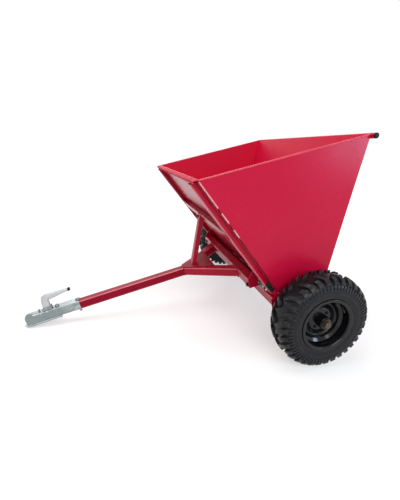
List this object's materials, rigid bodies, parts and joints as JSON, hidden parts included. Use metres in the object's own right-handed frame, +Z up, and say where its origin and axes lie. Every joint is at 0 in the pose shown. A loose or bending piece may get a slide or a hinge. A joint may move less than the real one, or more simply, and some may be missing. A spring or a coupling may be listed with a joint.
{
  "type": "towed sand spreader",
  "caption": "V-shaped steel hopper on two wheels, with a feed roller on the wheel shaft, an outlet gate and a Y-shaped drawbar ending in a ball coupling.",
  "frame": {"origin": "on the floor, in the middle of the machine's box as it is parked", "axes": "+X forwards to the coupling, +Y to the left, +Z up; the machine is parked nose down, its coupling on the floor"},
  "size_m": [1.5116, 1.388, 0.9372],
  "materials": {
    "red_paint": "gloss powder coat",
    "black_gloss_paint": "gloss",
    "tyre_rubber": "matt",
    "lip_rubber": "matt",
    "black_plastic": "satin",
    "zinc_plate": "bright zinc plate",
    "bright_steel": "zinc plate",
    "cast_housing": "satin",
    "bare_plate": "satin"
  },
  "bodies": {
    "frame": {"axle_beam": "red_paint", "centre_post": "red_paint", "coupling_body": "zinc_plate", "coupling_handle": "zinc_plate", "crossbeam": "red_paint", "drawbar_tube": "red_paint", "fork_gusset": "red_paint", "front_rim_flange": "red_paint", "front_wall": "red_paint", "left_bearing": "cast_housing", "left_drawbar_arm": "red_paint", "left_end_bracket": "red_paint", "left_front_rail": "red_paint", "left_shaft_bracket": "red_paint", "left_side_panel": "red_paint", "left_tube_plug": "black_plastic", "rear_lip": "lip_rubber", "rear_rim_tube": "red_paint", "rear_wall": "red_paint", "right_bearing": "cast_housing", "right_drawbar_arm": "red_paint", "right_end_bracket": "red_paint", "right_front_rail": "red_paint", "right_shaft_bracket": "red_paint", "right_side_panel": "red_paint", "right_tube_plug": "black_plastic", "setting_plate": "bare_plate", "upper_cross_member": "red_paint"},
    "drive_axle": {"feed_roller": "red_paint", "left_hub": "black_gloss_paint", "left_shaft_nut": "bright_steel", "left_tyre": "tyre_rubber", "left_wheel_rim": "black_gloss_paint", "right_shaft_nut": "bright_steel", "wheel_shaft": "bright_steel"},
    "right_wheel": {"right_hub": "black_gloss_paint", "right_tyre": "tyre_rubber", "right_wheel_rim": "black_gloss_paint"},
    "outlet_gate_body": {"gate_lever": "red_paint", "lever_knob": "black_plastic", "outlet_gate": "red_paint"}
  },
  "joints": [
    {"name": "drive_axle_spin", "type": "hinge", "parent": "frame", "child": "drive_axle", "pos_m": [-0.52712, 0, 0.205], "axis": [0, 1, 0], "continuous": true},
    {"name": "right_wheel_spin", "type": "hinge", "parent": "frame", "child": "right_wheel", "pos_m": [-0.52712, 0, 0.205], "axis": [0, 1, 0], "continuous": true},
    {"name": "outlet_gate_swing", "type": "hinge", "parent": "frame", "child": "outlet_gate_body", "pos_m": [-0.43865, 0, 0.21046], "axis": [0, -1, 0], "range_deg": [0, 20]}
  ]
}
